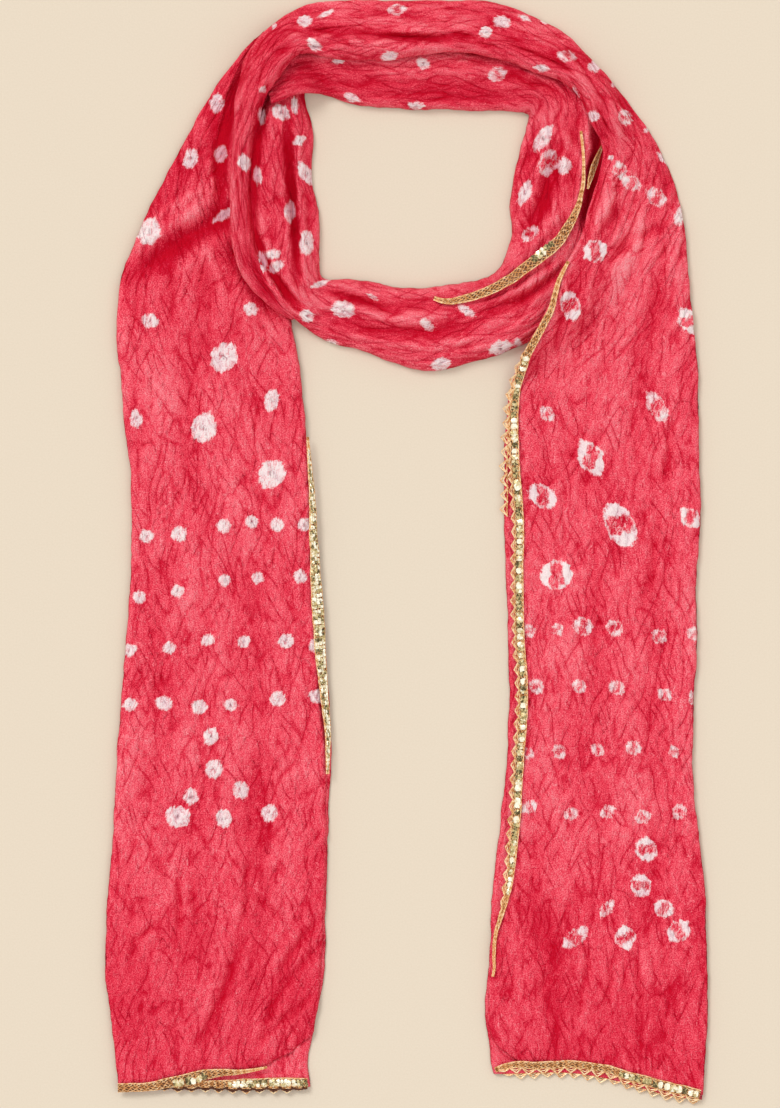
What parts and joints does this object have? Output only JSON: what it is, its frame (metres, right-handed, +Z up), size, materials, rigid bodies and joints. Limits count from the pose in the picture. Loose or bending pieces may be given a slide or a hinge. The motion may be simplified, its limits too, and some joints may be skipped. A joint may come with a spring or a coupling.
{
  "type": "dupatta stole",
  "caption": "Long crushed silk stole with tie-dyed dots and gold lace edges, folded lengthwise and laid flat with a wound neck loop and two tails.",
  "frame": {"origin": "middle of the stole's outline, on the surface that it lies on", "axes": "+X from the tail that lies below to the tail that lies on top, +Y from the hems to the neck, +Z up off the surface"},
  "size_m": [0.3916, 0.7205, 0.0329],
  "materials": {
    "crushed_silk": "crushed silk, soft sheen",
    "gota_lace": "gold gota tape and cord"
  },
  "bodies": {
    "root": {"tail_left": "crushed_silk", "back_under": "crushed_silk", "side_right": "crushed_silk", "front_band": "crushed_silk", "side_left": "crushed_silk", "side_left_outer": "crushed_silk", "back_over": "crushed_silk", "tail_right": "crushed_silk", "lace_loop": "gota_lace", "lace_right_upper": "gota_lace", "lace_right_under": "gota_lace", "lace_right_hem": "gota_lace", "lace_right_hem_under": "gota_lace", "lace_left_edge": "gota_lace", "lace_left_hem": "gota_lace", "lace_left_hem_under": "gota_lace"}
  },
  "joints": []
}
